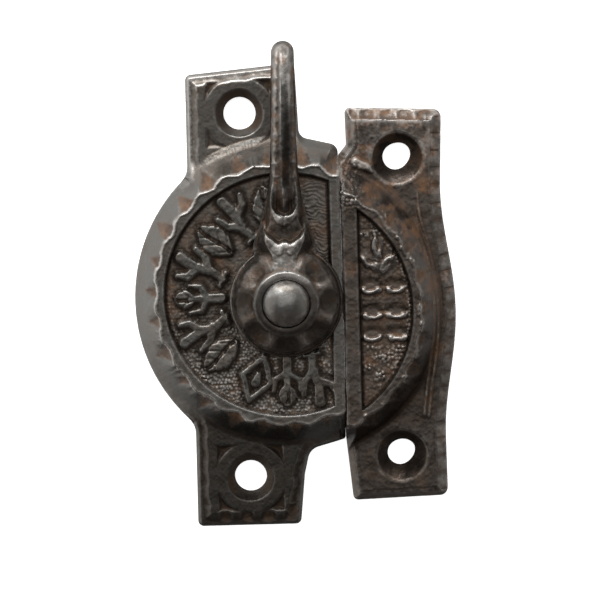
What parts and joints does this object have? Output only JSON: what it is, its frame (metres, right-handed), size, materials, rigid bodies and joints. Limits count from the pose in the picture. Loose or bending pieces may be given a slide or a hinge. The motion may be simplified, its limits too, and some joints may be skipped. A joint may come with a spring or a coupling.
{
  "type": "window sash lock",
  "caption": "Cast-iron window sash lock: a round case whose curved lever turns a hook-shaped cam on a spindle, and a separate keeper with a lug that the hook draws in.",
  "frame": {"origin": "centre of the footprint of the case, keeper and lever at rest, on the plane of the meeting rails that the lock is screwed to", "axes": "+Z away from the rails, along the spindle; +Y along the rails, towards the end of the lever when the lock is open; +X from the case to the keeper"},
  "size_m": [0.0488, 0.0734, 0.0252],
  "materials": {
    "case_iron": "waxed bare casting, semi-gloss, rust-brown in the recesses",
    "keeper_iron": "waxed bare casting, semi-gloss, rust-brown in the recesses",
    "lever_iron": "waxed bare casting, polished on its high points by use",
    "spindle_steel": "dark oxidised steel, worn bright on the dome",
    "cam_iron": "bare casting, rubbed along the hook",
    "washer_steel": "dull oxidised steel",
    "spring_steel": "blued spring steel",
    "pin_steel": "dull oxidised steel"
  },
  "bodies": {
    "keeper": {"keeper_casting": "keeper_iron"},
    "case": {"case_casting": "case_iron", "detent_spring": "spring_steel", "spring_pin_upper": "pin_steel", "spring_pin_lower": "pin_steel"},
    "lever": {"lever": "lever_iron", "pivot_spindle": "spindle_steel", "locking_cam": "cam_iron", "cam_washer": "washer_steel"}
  },
  "joints": [
    {"name": "sash_lift", "type": "slide", "parent": "keeper", "child": "case", "axis": [0, 0, 1], "range_m": [0, 0.04]},
    {"name": "lever_turn", "type": "hinge", "parent": "case", "child": "lever", "pos_m": [-0.00133, -0.00158, 0.0096], "axis": [0, 0, 1], "range_deg": [0, 180], "deforming": ["detent_spring"]}
  ]
}
